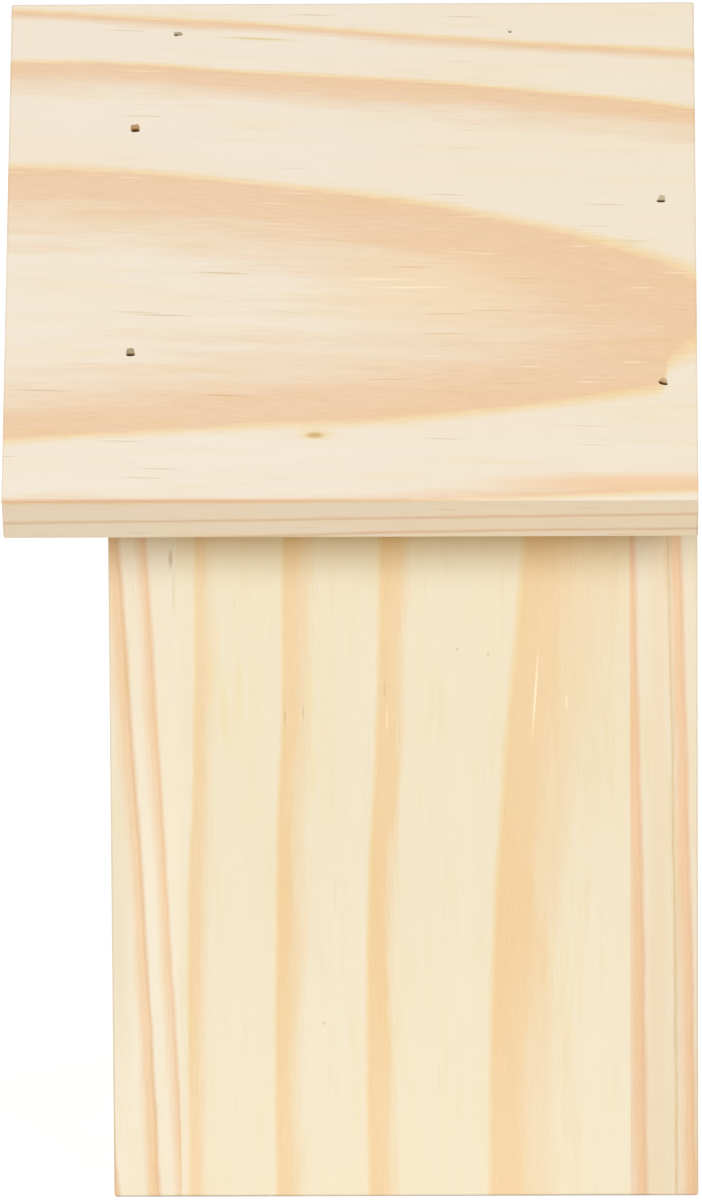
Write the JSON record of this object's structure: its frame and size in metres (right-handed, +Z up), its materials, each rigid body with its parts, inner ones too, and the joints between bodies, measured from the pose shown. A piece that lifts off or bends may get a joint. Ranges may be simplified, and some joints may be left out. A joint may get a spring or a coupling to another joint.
{
  "type": "butterfly house",
  "caption": "Small gabled butterfly house of nailed pine boards, with upright entrance slots in the front panel, a roof that overhangs the front and a hanging hole in the back.",
  "frame": {"origin": "on the base plane, under the middle of the roof", "axes": "+Z up, +Y out of the back panel, -Y out of the front panel with the entrance slots, +X to the right as seen from the front"},
  "size_m": [0.15, 0.122, 0.206],
  "materials": {
    "pine": "planed, untreated",
    "brad_steel": "bare wire, dulled"
  },
  "bodies": {
    "root": {"right_roof_board": "pine", "left_roof_board": "pine", "front_panel": "pine", "back_panel": "pine", "right_side_panel": "pine", "left_side_panel": "pine", "floor_panel": "pine", "ridge_brads": "brad_steel", "right_roof_brads": "brad_steel", "left_roof_brads": "brad_steel", "front_wall_brads": "brad_steel", "back_wall_brads": "brad_steel", "front_floor_brads": "brad_steel", "back_floor_brads": "brad_steel"}
  },
  "joints": []
}
